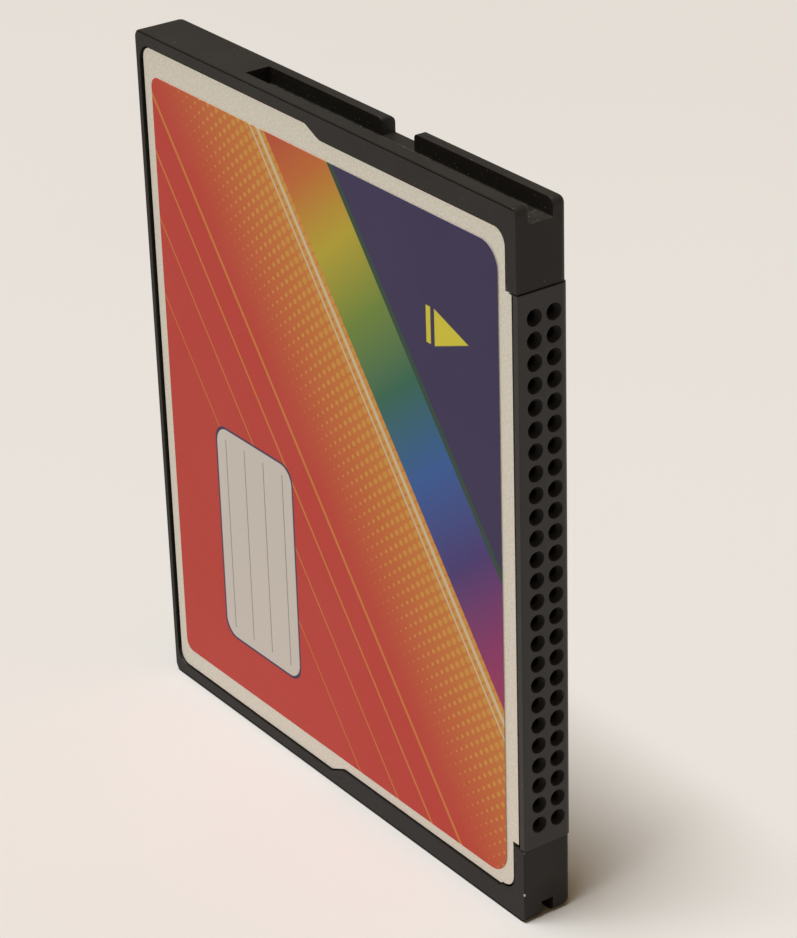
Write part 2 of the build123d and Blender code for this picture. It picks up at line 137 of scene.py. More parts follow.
class CardColours(bpy.types.PropertyGroup):
    """Colours of the card's finishes."""

    frame: colour_property("Frame", "Moulded frame", (0.0100, 0.0070, 0.0046))
    connector: colour_property("Connector", "Connector housing", (0.0176, 0.0134, 0.0114))
    # Sockets: darker than the connector plastic, painted shade for the inside of the holes
    socket: colour_property("Sockets", "Insides of the sockets", (0.0100, 0.0084, 0.0072))
    nick: colour_property("Nicks", "Whitened nicks on the edge", (0.72, 0.70, 0.66))
    dust: colour_property("Dust", "Specks of dust", (0.34, 0.30, 0.23))
    # Colour that lightens the floor of the wide groove in patches
    groove_floor_tone: colour_property("Groove floor tone", "Fine dust in the groove", (0.100, 0.089, 0.066))
    cover: colour_property("Covers", "Satin sheet covers", (0.83, 0.80, 0.71))
    red: colour_property("Red", "Main field of the print", (0.670, 0.042, 0.024))
    orange: colour_property("Orange", "Field of the print beside the band", (0.760, 0.250, 0.030))
    dots: colour_property("Dots", "Dots over the fields", (0.790, 0.370, 0.050))
    cream: colour_property("Cream", "Hairlines beside the band", (0.80, 0.66, 0.42))
    navy: colour_property("Navy", "Corner field of the print", (0.026, 0.018, 0.105))
    green_line: colour_property("Green line", "Thin line beside the corner field", (0.012, 0.070, 0.040))
    panel: colour_property("Panel", "Blank panel of the print", (0.80, 0.76, 0.70))
    rule: colour_property("Rules", "Thin rules on the panel", (0.26, 0.25, 0.26))
    arrow: colour_property("Arrow", "Insertion arrow", (0.84, 0.76, 0.04))
    bond: colour_property("Bonding film", "Film under the covers", (0.62, 0.56, 0.42))
    contact: colour_property("Contacts", "Plated contacts", (0.80, 0.58, 0.24))
    solder: colour_property("Leads", "Tinned leads and end caps", (0.68, 0.68, 0.70))
    resin: colour_property("Chips", "Chip bodies", (0.022, 0.022, 0.024))
    ceramic: colour_property("Ceramic", "Ceramic parts", (0.40, 0.29, 0.19))
    lid: colour_property("Lid", "Lid of the crystal", (0.70, 0.68, 0.62))
    tantalum: colour_property("Tantalum", "Body of the tantalum capacitor", (0.62, 0.33, 0.04))
    floor: colour_property("Floor", "Floor of the studio", (0.825, 0.780, 0.725))


class StudioSettings(bpy.types.PropertyGroup):
    """Camera, lamp and room."""

    lens: FloatProperty(
        name="Lens", description="Focal length for a 36 mm long side", default=126.9, unit="CAMERA"
    )
    azimuth: FloatProperty(
        name="Azimuth", description="Turn of the view from the label side",
        default=math.radians(55.1), subtype="ANGLE",
    )
    elevation: FloatProperty(
        name="Elevation", description="Height of the view", default=math.radians(26.53), subtype="ANGLE"
    )
    roll: FloatProperty(
        name="Roll", description="Tilt of the picture", default=math.radians(1.78), subtype="ANGLE"
    )
    camera_place: FloatVectorProperty(
        name="Camera place", description="Place of the camera", default=(0.1403, -0.0945, 0.1051),
        unit="LENGTH", subtype="XYZ",
    )
    lamp_place: FloatVectorProperty(
        name="Lamp place", description="Place of the soft lamp", default=(-0.04, -0.213, 1.2),
        unit="LENGTH", subtype="XYZ",
    )
    lamp_power: FloatProperty(name="Lamp", description="Power of the soft lamp", default=14.0, unit="POWER")
    lamp_size: FloatProperty(name="Lamp size", description="Side of the lamp", default=0.37, unit="LENGTH")
    lamp_colour: colour_property("Lamp colour", "Colour of the soft lamp", (0.898, 0.947, 1.0))
    room_light: FloatProperty(name="Room light", description="Strength of the even light", default=0.19)
    room_colour: colour_property("Room colour", "Colour of the even light", (1.0, 0.74, 0.44))
    backdrop: colour_property("Backdrop", "Pale room that gloss and the camera see", (0.36, 0.32, 0.27))


# Working in the edit and object modes
def deselect_all():
    """Leaves edit mode and selects nothing."""
    if bpy.context.object and bpy.context.object.mode != "OBJECT":
        bpy.ops.object.mode_set(mode="OBJECT")
    bpy.ops.object.select_all(action="DESELECT")


def take(piece):
    """Selects one object alone and makes it the active one."""
    deselect_all()
    piece.select_set(True)
    bpy.context.view_layer.objects.active = piece


def edit(piece, select="SELECT", mode="VERT"):
    """Opens a piece in edit mode, with all of it or none of it selected."""
    take(piece)
    bpy.ops.object.mode_set(mode="EDIT")
    bpy.ops.mesh.select_mode(type=mode)
    bpy.ops.mesh.select_all(action=select)


def choose(piece, kind, test):
    """Selects the faces or edges of the piece in edit mode whose element passes the test."""
    bpy.ops.object.mode_set(mode="OBJECT")
    for element in getattr(piece.data, kind):
        element.select = test(element)
    bpy.ops.object.mode_set(mode="EDIT")


def edge_along_z(piece, x, y):
    """Test for the edges that run along Z at that X and Y."""
    def test(edge):
        ends = [piece.data.vertices[index].co for index in edge.vertices]
        return all(abs(end.x - x) < 0.01 and abs(end.y - y) < 0.01 for end in ends)
    return test


def apply_modifier(piece, name, kind, **settings):
    """Adds a modifier, sets its options and applies it."""
    modifier = piece.modifiers.new(name, kind)
    for option, value in settings.items():
        setattr(modifier, option, value)
    take(piece)
    bpy.ops.object.modifier_apply(modifier=modifier.name)


def block(name, low, high):
    """Box between two corners, in millimetres."""
    deselect_all()
    low, high = Vector(low), Vector(high)
    bpy.ops.mesh.primitive_cube_add(size=1, location=(low + high) / 2, scale=high - low)
    piece = bpy.context.object
    piece.name = name
    bpy.ops.object.transform_apply(location=True, rotation=True, scale=True)
    return piece


def repeated(piece, places):
    """Copies a piece to each place, joins the copies and removes the first one."""
    copies = []
    for place in places:
        copy = piece.copy()
        copy.data = piece.data.copy()
        copy.location = place
        bpy.context.scene.collection.objects.link(copy)
        copies.append(copy)
    bpy.data.objects.remove(piece)
    take(copies[0])
    for copy in copies:
        copy.select_set(True)
    bpy.ops.object.join()
    bpy.ops.object.transform_apply(location=True, rotation=False, scale=False)
    return bpy.context.object


def combine(piece, tool, operation):
    """Cuts a tool from a piece or adds it, and removes the tool."""
    apply_modifier(piece, "shape", "BOOLEAN", operation=operation, object=tool, solver="EXACT")
    bpy.data.objects.remove(tool)


def enlarged_copy(name, node):
    """Copy of a CAD node in millimetres, with its triangles merged into whole faces."""
    piece = bpy.data.objects.new(name, frame["nodes"][node].data.copy())
    bpy.context.scene.collection.objects.link(piece)
    piece.data.materials.clear()
    piece.data.transform(Matrix.Scale(1 / MM, 4))
    edit(piece)
    bpy.ops.mesh.customdata_custom_splitnormals_clear()
    bpy.ops.mesh.remove_doubles(threshold=0.0005)
    bpy.ops.mesh.dissolve_limited(angle_limit=FLAT_WITHIN, delimit={"NORMAL"})
    bpy.ops.object.mode_set(mode="OBJECT")
    return piece


def soften(piece, radius):
    """Rounds the sharp edges of a piece, which take its second material."""
    apply_modifier(
        piece, "soft edges", "BEVEL", width=radius, segments=2, limit_method="ANGLE",
        angle_limit=SHARP_EDGE, use_clamp_overlap=False, material=1, miter_outer="MITER_ARC",
    )


def hand_over(piece, node):
    """Brings a finished piece down to metres, shades it and lets it stand for its CAD node.

    Normals weighted by area keep the flat faces flat up to their rounded edges.
    """
    piece.data.transform(Matrix.Scale(MM, 4))
    take(piece)
    bpy.ops.object.shade_smooth_by_angle(angle=SMOOTH_BELOW)
    apply_modifier(piece, "flat faces", "WEIGHTED_NORMAL", mode="FACE_AREA", weight=100, keep_sharp=True)
    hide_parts(node)
    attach(piece, BODY)


def dress(nodes, material):
    """Gives CAD nodes a material in place of their own."""
    for node in nodes:
        materials = frame["nodes"][node].data.materials
        materials.clear()
        materials.append(material)


# Node trees
def put(tree, kind, inputs=None, **settings):
    """Adds a node, sets its options, and fills its inputs with values or with other nodes' sockets."""
    node = tree.nodes.new(kind)
    for option, value in settings.items():
        setattr(node, option, value)
    for key, value in (inputs or {}).items():
        if isinstance(value, bpy.types.NodeSocket):
            tree.links.new(value, node.inputs[key])
        else:
            node.inputs[key].default_value = value
    return node


def calc(tree, operation, *values):
    """Math node; returns its result."""
    return put(tree, "ShaderNodeMath", dict(enumerate(values)), operation=operation).outputs[0]


def blend_colours(tree, factor, first, second):
    """Mix node for two colours; returns the result."""
    return put(tree, "ShaderNodeMix", {0: factor, 6: first, 7: second}, data_type="RGBA").outputs[2]


def opaque(colour):
    """Colour with full alpha."""
    return (*colour, 1.0)


def in_millimetres(tree):
    """Object coordinates in millimetres."""
    place = put(tree, "ShaderNodeTexCoord").outputs["Object"]
    return put(tree, "ShaderNodeVectorMath", {0: place, "Scale": 1 / MM}, operation="SCALE").outputs[0]


def ramp(tree, factor, stops):
    """Colour ramp through a list of (place, colour)."""
    node = put(tree, "ShaderNodeValToRGB", {"Fac": factor})
    elements = node.color_ramp.elements
    while len(elements) < len(stops):
        elements.new(0.5)
    for element, (place, colour) in zip(elements, stops):
        element.position = place
        element.color = opaque(colour)
    return node.outputs["Color"]


def new_group(name, inputs, outputs):
    """Empty node group with named sockets; inputs is a list of (kind, name, default)."""
    group = bpy.data.node_groups.new(name, "ShaderNodeTree")
    for kind, label, default in inputs:
        socket = group.interface.new_socket(label, in_out="INPUT", socket_type=kind)
        socket.default_value = default
    for kind, label in outputs:
        group.interface.new_socket(label, in_out="OUTPUT", socket_type=kind)
    return group, put(group, "NodeGroupInput"), put(group, "NodeGroupOutput")


NUMBER, COLOUR = "NodeSocketFloat", "NodeSocketColor"


def moulded_grain():
    """Fine grain of a mould's surface, with slow changes of shade over it."""
    group, given, result = new_group(
        "Moulded grain",
        [(NUMBER, "Grain per mm", 9.0), (NUMBER, "Cloud per mm", 0.35)],
        [(NUMBER, "Height"), (NUMBER, "Shade")],
    )
    place = in_millimetres(group)
    fine = put(group, "ShaderNodeTexNoise", {"Vector": place, "Scale": given.outputs[0], "Detail": 3.0})
    pits = put(group, "ShaderNodeTexVoronoi", {"Vector": place, "Scale": given.outputs[0]})
    cloud = put(group, "ShaderNodeTexNoise", {"Vector": place, "Scale": given.outputs[1], "Detail": 4.0})
    height = calc(group, "MULTIPLY_ADD", pits.outputs["Distance"], 0.5, fine.outputs["Fac"])
    group.links.new(height, result.inputs["Height"])
    group.links.new(cloud.outputs["Fac"], result.inputs["Shade"])
    return group


# Share of the cells of the dust pattern that stay without a speck
CLEAN_CELLS = 0.86


def dust():
    """Mask of sparse specks of dust and of short fine scuffs."""
    group, given, result = new_group(
        "Dust and scuffs",
        [(NUMBER, "Specks per mm", 1.6), (NUMBER, "Speck size", 0.05), (NUMBER, "Scuffs", 0.5)],
        [(NUMBER, "Specks"), (NUMBER, "Scuffs")],
    )
    place = in_millimetres(group)
    cells = put(group, "ShaderNodeTexVoronoi", {"Vector": place, "Scale": given.outputs[0]})
    lucky = put(group, "ShaderNodeSeparateColor", {"Color": cells.outputs["Color"]})
    rare = calc(group, "GREATER_THAN", lucky.outputs[0], CLEAN_CELLS)
    near = calc(group, "LESS_THAN", cells.outputs["Distance"], given.outputs[1])
    group.links.new(calc(group, "MULTIPLY", rare, near), result.inputs["Specks"])
    stretched = put(
        group, "ShaderNodeMapping", {"Vector": place, "Rotation": (0.0, 0.6, 0.2), "Scale": (0.5, 3.0, 7.0)}
    )
    lines = put(group, "ShaderNodeTexNoise", {"Vector": stretched.outputs[0], "Scale": 1.3, "Detail": 5.0})
    scuffed = put(
        group, "ShaderNodeMapRange", {"Value": lines.outputs["Fac"], "From Min": 0.60, "From Max": 0.72}
    )
    group.links.new(calc(group, "MULTIPLY", scuffed.outputs[0], given.outputs[2]), result.inputs["Scuffs"])
    return group


def rolled_sheet():
    """Grain of rolled sheet: short fine lines along the card's width over a soft mottle."""
    group, given, result = new_group(
        "Rolled sheet",
        [(NUMBER, "Lines per mm", 14.0), (NUMBER, "Stretch", 0.12)],
        [(NUMBER, "Height"), (NUMBER, "Shade")],
    )
    place = in_millimetres(group)
    along = put(group, "ShaderNodeCombineXYZ", {"X": 1.0, "Y": 1.0, "Z": given.outputs[1]})
    stretched = put(group, "ShaderNodeVectorMath", {0: place, 1: along.outputs[0]}, operation="MULTIPLY")
    lines = put(group, "ShaderNodeTexNoise", {
        "Vector": stretched.outputs[0], "Scale": given.outputs[0], "Detail": 2.0,
    })
    speckle = put(group, "ShaderNodeTexNoise", {"Vector": place, "Scale": 6.5, "Detail": 3.0})
    height = calc(group, "MULTIPLY_ADD", lines.outputs["Fac"], 0.6, speckle.outputs["Fac"])
    group.links.new(height, result.inputs["Height"])
    group.links.new(speckle.outputs["Fac"], result.inputs["Shade"])
    return group


groups = {}


def use_group(tree, name, inputs=None):
    """Places a shared node group in a tree."""
    builders = {"grain": moulded_grain, "dust": dust, "sheet": rolled_sheet, "print": printed_fields}
    if name not in groups:
        groups[name] = builders[name]()
    return put(tree, "ShaderNodeGroup", inputs, node_tree=groups[name])


def surface(name, roughness=0.5, metallic=0.0, coat=0.0, reflection=0.5):
    """New material with its shader; returns the material, its tree and the shader."""
    material = bpy.data.materials.new(name)
    material.use_nodes = True
    tree = material.node_tree
    shader = tree.nodes["Principled BSDF"]
    shader.inputs["Roughness"].default_value = roughness
    shader.inputs["Metallic"].default_value = metallic
    shader.inputs["Coat Weight"].default_value = coat
    shader.inputs["Specular IOR Level"].default_value = reflection
    return material, tree, shader


def bump(tree, shader, height, distance):
    """Bump from a height, with its distance in millimetres."""
    node = put(tree, "ShaderNodeBump", {"Height": height, "Distance": distance * MM, "Strength": 1.0})
    tree.links.new(node.outputs["Normal"], shader.inputs["Normal"])


def shades(tree, value, low, high):
    """A value spread between two others."""
    inputs = {"Value": value, "From Min": 0.3, "From Max": 0.7, "To Min": low, "To Max": high}
    return put(tree, "ShaderNodeMapRange", inputs).outputs[0]


def moulded_plastic(
    name, colour, grain=9.0, depth=0.012, roughness=0.5, scuffs=0.5, lighten=1.0, reflection=0.3, marks=None
):
    """Matt moulded plastic with a fine grain, a little dust and light scuffs; marks adds more to it."""
    material, tree, shader = surface(name, reflection=reflection)
    grained = use_group(tree, "grain", {"Grain per mm": grain})
    worn = use_group(tree, "dust", {"Scuffs": scuffs})
    plain = opaque([channel * lighten for channel in colour])
    pale = opaque([0.7 * channel * lighten + 0.03 for channel in colour])
    dust_colour = opaque(bpy.context.scene.card_colours.dust)
    clouded = blend_colours(tree, shades(tree, grained.outputs["Shade"], 0.0, 0.2), plain, pale)
    scuffed = blend_colours(tree, calc(tree, "MULTIPLY", worn.outputs["Scuffs"], 0.15), clouded, pale)
    dusty = blend_colours(tree, calc(tree, "MULTIPLY", worn.outputs["Specks"], 0.5), scuffed, dust_colour)
    if marks:
        dusty = marks(tree, dusty)
    tree.links.new(dusty, shader.inputs["Base Color"])
    dulled = shades(tree, grained.outputs["Height"], roughness - 0.06, roughness + 0.06)
    tree.links.new(dulled, shader.inputs["Roughness"])
    bump(tree, shader, grained.outputs["Height"], depth)
    return material


# Marks on the frame, in millimetres: nicks on the near edge, dust specks in the wide groove, and a lighter
# tone in patches on the groove's floor
NICKS = (((18.12, -1.65, 1.87), 0.09), ((18.12, -1.65, 4.62), 0.042))
GROOVE_MIDDLE = (5.4, -0.09, 42.25)
GROOVE_HALF = (12.9, 0.81, 0.47)
GROOVE_FLOOR_BELOW = 41.9


def frame_marks(tree, colour):
    """Whitened nicks on the near edge, dust specks in the wide groove and a lighter tone in patches on the
    groove's floor.
    """
    colours = bpy.context.scene.card_colours
    place = in_millimetres(tree)
    ragged = put(tree, "ShaderNodeTexNoise", {"Vector": place, "Scale": 14.0})
    for middle, size in NICKS:
        away = put(tree, "ShaderNodeVectorMath", {0: place, 1: middle}, operation="DISTANCE").outputs["Value"]
        uneven = calc(tree, "MULTIPLY_ADD", ragged.outputs["Fac"], size, away)
        colour = blend_colours(tree, below(tree, uneven, 1.5 * size, 0.01), colour, opaque(colours.nick))
    offset = put(tree, "ShaderNodeVectorMath", {0: place, 1: GROOVE_MIDDLE}, operation="SUBTRACT").outputs[0]
    reach = put(tree, "ShaderNodeVectorMath", {0: offset}, operation="ABSOLUTE").outputs[0]
    sides = put(tree, "ShaderNodeSeparateXYZ", {0: reach})
    inside = below(tree, sides.outputs["X"], GROOVE_HALF[0])
    for axis, half in (("Y", GROOVE_HALF[1]), ("Z", GROOVE_HALF[2])):
        inside = calc(tree, "MULTIPLY", inside, below(tree, sides.outputs[axis], half))
    gathered = use_group(tree, "dust", {"Specks per mm": 6.0, "Speck size": 0.20})
    specks = calc(tree, "MULTIPLY", inside, calc(tree, "MULTIPLY", gathered.outputs["Specks"], 0.7))
    dusty = blend_colours(tree, specks, colour, opaque(colours.dust))
    # Lighter tone in patches on the groove's floor, below a set height
    height = put(tree, "ShaderNodeSeparateXYZ", {0: place}).outputs["Z"]
    bottom = calc(tree, "MULTIPLY", inside, below(tree, height, GROOVE_FLOOR_BELOW))
    floor_patches = put(tree, "ShaderNodeTexNoise", {
        "Vector": place, "Scale": 1.4, "Detail": 8.0, "Roughness": 0.75,
    })
    patch_strength = put(tree, "ShaderNodeMapRange", {
        "Value": floor_patches.outputs["Fac"], "From Min": 0.40, "From Max": 0.78, "To Max": 0.75,
    })
    groove_floor_mask = calc(tree, "MULTIPLY", bottom, patch_strength.outputs[0])
    return blend_colours(tree, groove_floor_mask, dusty, opaque(colours.groove_floor_tone))


def satin_metal(name, colour, lines=14.0, stretch=0.12, roughness=0.42, depth=0.003):
    """Satin metal with fine lines and a soft mottle."""
    material, tree, shader = surface(name, metallic=1.0)
    rolled = use_group(tree, "sheet", {"Lines per mm": lines, "Stretch": stretch})
    worn = use_group(tree, "dust", {"Scuffs": 0.7, "Specks per mm": 0.8})
    darker = opaque([channel * 0.84 for channel in colour])
    grime = opaque([channel * 0.45 for channel in colour])
    mottled = blend_colours(tree, shades(tree, rolled.outputs["Shade"], 0.0, 1.0), opaque(colour), darker)
    dulled = blend_colours(tree, calc(tree, "MULTIPLY", worn.outputs["Scuffs"], 0.4), mottled, darker)
    dotted = blend_colours(tree, calc(tree, "MULTIPLY", worn.outputs["Specks"], 0.5), dulled, grime)
    tree.links.new(dotted, shader.inputs["Base Color"])
    satin = shades(tree, rolled.outputs["Height"], roughness - 0.05, roughness + 0.07)
    tree.links.new(satin, shader.inputs["Roughness"])
    bump(tree, shader, rolled.outputs["Height"], depth)
    return material


# Print of the label
def below(tree, value, limit, softness=0.03):
    """Mask that is 1 where a value in millimetres is below a limit, with a soft printed edge."""
    inputs = {"Value": value, "From Min": limit + softness, "From Max": limit - softness}
    return put(tree, "ShaderNodeMapRange", inputs).outputs[0]


def rounded_panel(tree, x, z, middle, half, radius):
    """Mask of a rounded rectangle on the label."""
    reach = []
    for value, centre, size in ((x, middle[0], half[0]), (z, middle[1], half[1])):
        away = calc(tree, "ABSOLUTE", calc(tree, "SUBTRACT", value, centre))
        beyond = calc(tree, "SUBTRACT", away, size - radius)
        reach.append(calc(tree, "MAXIMUM", beyond, 0.0))
    squares = calc(tree, "ADD", calc(tree, "POWER", reach[0], 2.0), calc(tree, "POWER", reach[1], 2.0))
    return below(tree, calc(tree, "SQRT", squares), radius)


# Places of the print, in millimetres from the label's middle
BAND_ANGLE = math.radians(38)
BAND_START = 8.0
BAND_WIDTH = 4.8
LINE_WIDTH = 0.4
HAIRLINES = ((0.55, 0.30), (1.15, 0.16))
GLOW_HAIRLINES = ((10.0, 0.22), (12.2, 0.16), (14.8, 0.11), (17.8, 0.08))
GLOW_FROM = -3.0
DOT_PITCH = 0.62
DOTS_FROM = -0.5
LARGEST_DOT = 0.46
PANEL_MIDDLE = (-7.6, -8.6)
PANEL_HALF = (4.1, 7.2)
PANEL_RADIUS = 1.1
PANEL_OUTLINE = 0.14
RULE_PITCH = 2.0
RULE_WIDTH = 0.07
RULE_MARGIN = 0.8
ARROW_TIP = (14.0, 12.6)
ARROW_LENGTH = 3.0
ARROW_SLOPE = 0.36
ARROW_BAR = (0.35, 0.75)
SPECTRUM = (
    (0.00, (0.520, 0.028, 0.120)),
    (0.14, (0.330, 0.022, 0.170)),
    (0.27, (0.060, 0.030, 0.230)),
    (0.41, (0.016, 0.125, 0.460)),
    (0.54, (0.014, 0.170, 0.100)),
    (0.66, (0.200, 0.330, 0.030)),
    (0.77, (0.620, 0.500, 0.020)),
    (0.88, (0.700, 0.180, 0.020)),
    (1.00, (0.600, 0.040, 0.030)),
)


def printed_fields():
    """The label's print: red, a dotted orange glow, a ruled panel, a spectrum band and a navy corner."""
    colours = bpy.context.scene.card_colours
    inks = {
        "Red": colours.red, "Orange": colours.orange, "Dots": colours.dots, "Cream": colours.cream,
        "Navy": colours.navy, "Line": colours.green_line, "Panel": colours.panel, "Rules": colours.rule,
        "Arrow": colours.arrow,
    }
    group, given, result = new_group(
        "Printed fields", [(COLOUR, name, opaque(ink)) for name, ink in inks.items()], [(COLOUR, "Colour")]
    )
    ink = given.outputs
    place = put(group, "ShaderNodeSeparateXYZ", {0: in_millimetres(group)})
    x = calc(group, "SUBTRACT", place.outputs["X"], LABEL_MIDDLE.x)
    z = calc(group, "SUBTRACT", place.outputs["Z"], LABEL_MIDDLE.z)
    cos, sin = math.cos(BAND_ANGLE), math.sin(BAND_ANGLE)
    across = calc(group, "MULTIPLY_ADD", x, cos, calc(group, "MULTIPLY", z, sin))
    along = calc(group, "MULTIPLY_ADD", z, cos, calc(group, "MULTIPLY", x, -sin))

    # Red turns to orange towards the band, under dots that grow the same way
    glow_range = {"Value": across, "From Min": GLOW_FROM, "From Max": BAND_START}
    glow = put(group, "ShaderNodeMapRange", glow_range, interpolation_type="SMOOTHSTEP")
    field = blend_colours(group, glow.outputs[0], ink["Red"], ink["Orange"])
    dot_range = {"Value": across, "From Min": DOTS_FROM, "From Max": BAND_START, "To Max": LARGEST_DOT}
    dot_size = put(group, "ShaderNodeMapRange", dot_range)
    squares = []
    for value in (across, along):
        cell = calc(group, "FRACT", calc(group, "MULTIPLY", value, 1 / DOT_PITCH))
        squares.append(calc(group, "POWER", calc(group, "SUBTRACT", cell, 0.5), 2.0))
    from_middle = calc(group, "SQRT", calc(group, "ADD", *squares))
    dots = below(group, calc(group, "SUBTRACT", from_middle, dot_size.outputs[0]), 0.0, 0.06)
    field = blend_colours(group, dots, field, ink["Dots"])
    for start, width in GLOW_HAIRLINES:
        from_line = calc(group, "ABSOLUTE", calc(group, "SUBTRACT", across, BAND_START - start))
        field = blend_colours(group, below(group, from_line, width / 2), field, ink["Orange"])

    # Blank panel with an outline and thin rules
    panel = rounded_panel(group, x, z, PANEL_MIDDLE, PANEL_HALF, PANEL_RADIUS)
    inner_half = [half - PANEL_OUTLINE for half in PANEL_HALF]
    inner = rounded_panel(group, x, z, PANEL_MIDDLE, inner_half, PANEL_RADIUS)
    ruled_half = [half - RULE_MARGIN for half in PANEL_HALF]
    ruled = rounded_panel(group, x, z, PANEL_MIDDLE, ruled_half, RULE_MARGIN / 2)
    from_panel_middle = calc(group, "SUBTRACT", x, PANEL_MIDDLE[0])
    rule_cell = calc(group, "FRACT", calc(group, "MULTIPLY", from_panel_middle, 1 / RULE_PITCH))
    from_rule = calc(group, "ABSOLUTE", calc(group, "SUBTRACT", rule_cell, 0.5))
    rule = calc(group, "MULTIPLY", below(group, from_rule, RULE_WIDTH / 2 / RULE_PITCH, 0.01), ruled)
    field = blend_colours(group, panel, field, ink["Navy"])
    field = blend_colours(group, inner, field, blend_colours(group, rule, ink["Panel"], ink["Rules"]))

    # Hairlines, spectrum band, thin line and navy corner
    for start, width in HAIRLINES:
        from_line = calc(group, "ABSOLUTE", calc(group, "SUBTRACT", across, BAND_START - start))
        field = blend_colours(group, below(group, from_line, width / 2), field, ink["Cream"])
    half_length = (LABEL_HIGH.z - LABEL_LOW.z) / 2
    spread = put(
        group, "ShaderNodeMapRange", {"Value": along, "From Min": -half_length, "From Max": half_length}
    )
    spectrum = ramp(group, spread.outputs[0], SPECTRUM)
    short_of = calc(group, "MULTIPLY", across, -1.0)
    line_start = BAND_START + BAND_WIDTH
    navy_start = line_start + LINE_WIDTH
    for start, colour in ((BAND_START, spectrum), (line_start, ink["Line"]), (navy_start, ink["Navy"])):
        field = blend_colours(group, below(group, short_of, -start), field, colour)

    # Insertion arrow and the bar behind it
    from_tip = calc(group, "SUBTRACT", ARROW_TIP[0], x)
    off_axis = calc(group, "ABSOLUTE", calc(group, "SUBTRACT", z, ARROW_TIP[1]))
    half_height = calc(group, "MULTIPLY", from_tip, ARROW_SLOPE)
    sides = below(group, calc(group, "SUBTRACT", off_axis, half_height), 0.0)
    arrow = calc(group, "MULTIPLY", sides, below(group, from_tip, ARROW_LENGTH))
    bar_start, bar_end = (ARROW_LENGTH + gap for gap in ARROW_BAR)
    past_start = calc(group, "SUBTRACT", 1.0, below(group, from_tip, bar_start))
    bar = calc(group, "MULTIPLY", below(group, from_tip, bar_end), past_start)
    bar = calc(group, "MULTIPLY", bar, below(group, off_axis, ARROW_LENGTH * ARROW_SLOPE))
    field = blend_colours(group, calc(group, "MAXIMUM", arrow, bar), field, ink["Arrow"])
    group.links.new(field, result.inputs["Colour"])
    return group


# Label film: its faint print grain, and the bare edge that shows behind the printed skin
SPECKLE = (0.30, 0.20, 0.18)
FILM = (0.62, 0.58, 0.53)
PRINTED_SKIN = 0.02


def label_film(name):
    """Printed film: its fields of ink, a faint print grain and a satin surface."""
    material, tree, shader = surface(name, reflection=0.2)
    fields = use_group(tree, "print")
    grained = use_group(tree, "grain", {"Grain per mm": 16.0, "Cloud per mm": 0.12})
    speckle = shades(tree, grained.outputs["Height"], 0.0, 0.06)
    shaded = blend_colours(tree, speckle, fields.outputs["Colour"], opaque(SPECKLE))
    place = put(tree, "ShaderNodeSeparateXYZ", {0: in_millimetres(tree)})
    printed = below(tree, place.outputs["Y"], LABEL_LOW.y + PRINTED_SKIN, 0.005)
    edged = blend_colours(tree, printed, opaque(FILM), shaded)
    tree.links.new(edged, shader.inputs["Base Color"])
    tree.links.new(shades(tree, grained.outputs["Shade"], 0.38, 0.47), shader.inputs["Roughness"])
    bump(tree, shader, grained.outputs["Height"], 0.002)
    return material


# Circuit board: solder mask over copper, over bare board and between tracks, and the plated vias
MASK_OVER_COPPER = ((0.012, 0.130, 0.055), (0.016, 0.155, 0.066))
MASK_OVER_BOARD = (0.006, 0.075, 0.032)
PLATED_VIA = (0.45, 0.36, 0.16)
VIA_RADIUS = 0.10


def solder_mask(name):
    """Circuit board: glossy solder mask with tracks and small vias under it."""
    material, tree, shader = surface(name, coat=0.4)
    place = in_millimetres(tree)
    turned = put(tree, "ShaderNodeMapping", {"Vector": place, "Rotation": (math.radians(90), 0.0, 0.0)})
    tracks = put(tree, "ShaderNodeTexBrick", {
        "Vector": turned.outputs[0], "Scale": 1.0,
        "Mortar Size": 0.06, "Brick Width": 2.6, "Row Height": 0.55,
        "Color1": opaque(MASK_OVER_COPPER[0]), "Color2": opaque(MASK_OVER_COPPER[1]),
        "Mortar": opaque(MASK_OVER_BOARD),
    })
    vias = put(tree, "ShaderNodeTexVoronoi", {"Vector": place, "Scale": 0.45})
    via = calc(tree, "LESS_THAN", vias.outputs["Distance"], VIA_RADIUS)
    coloured = blend_colours(tree, via, tracks.outputs["Color"], opaque(PLATED_VIA))
    tree.links.new(coloured, shader.inputs["Base Color"])
    grained = use_group(tree, "grain", {"Grain per mm": 5.0})
    tree.links.new(shades(tree, grained.outputs["Shade"], 0.22, 0.34), shader.inputs["Roughness"])
    bump(tree, shader, tracks.outputs["Fac"], 0.01)
    return material


# Round sockets of the connector: sides and rim steps of the cutter, and how far it passes each end
SOCKET_SIDES = 40
RIM_STEPS = 3
OUTSIDE = 0.1
OVERRUN = 0.02


